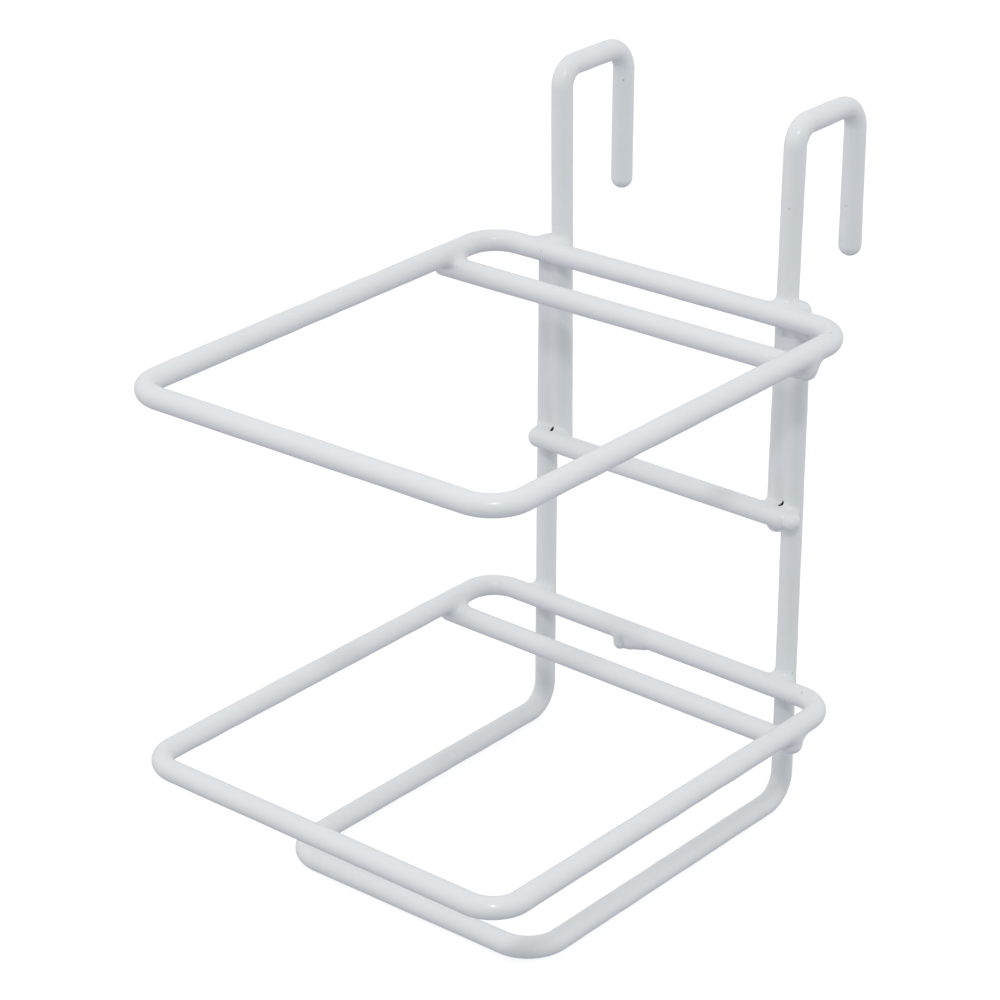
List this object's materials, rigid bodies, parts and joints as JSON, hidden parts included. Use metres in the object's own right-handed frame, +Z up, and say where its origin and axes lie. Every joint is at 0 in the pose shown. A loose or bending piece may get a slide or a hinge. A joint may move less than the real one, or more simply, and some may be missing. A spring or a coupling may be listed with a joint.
{
  "type": "hair dryer holder",
  "caption": "Welded wire rack dipped in white plastic, with rectangular rings one above another that hold a hair dryer, a base frame to stand on and rear hooks to hang by.",
  "frame": {"origin": "on the floor, in the plane half way between the two uprights and half way from the front wire to the hooks' backs", "axes": "+Z up, +Y the way the hooks reach back, +X to the right as seen from the front"},
  "size_m": [0.1273, 0.1776, 0.1998],
  "materials": {
    "white_coating": "smooth white dipped plastic, soft gloss",
    "steel_wire": "drawn mild-steel wire, bright",
    "weld_metal": "resistance weld, heat-darkened"
  },
  "bodies": {
    "root": {"base_frame_wire": "steel_wire", "hook_wire_left": "steel_wire", "hook_wire_right": "steel_wire", "top_ring_wire": "steel_wire", "lower_ring_wire": "steel_wire", "middle_cross_bar": "steel_wire", "top_cross_bar": "steel_wire", "lower_cross_bar": "steel_wire", "top_ring_upright_welds": "weld_metal", "top_ring_hook_welds": "weld_metal", "lower_ring_upright_welds": "weld_metal", "middle_bar_upright_welds": "weld_metal", "middle_bar_hook_welds": "weld_metal", "top_bar_welds": "weld_metal", "lower_bar_welds": "weld_metal", "top_ring_butt_weld": "weld_metal", "lower_ring_butt_weld": "weld_metal", "base_frame_wire_coating": "white_coating", "hook_wire_left_coating": "white_coating", "hook_wire_right_coating": "white_coating", "top_ring_wire_coating": "white_coating", "lower_ring_wire_coating": "white_coating", "middle_cross_bar_coating": "white_coating", "top_cross_bar_coating": "white_coating", "lower_cross_bar_coating": "white_coating"}
  },
  "joints": []
}
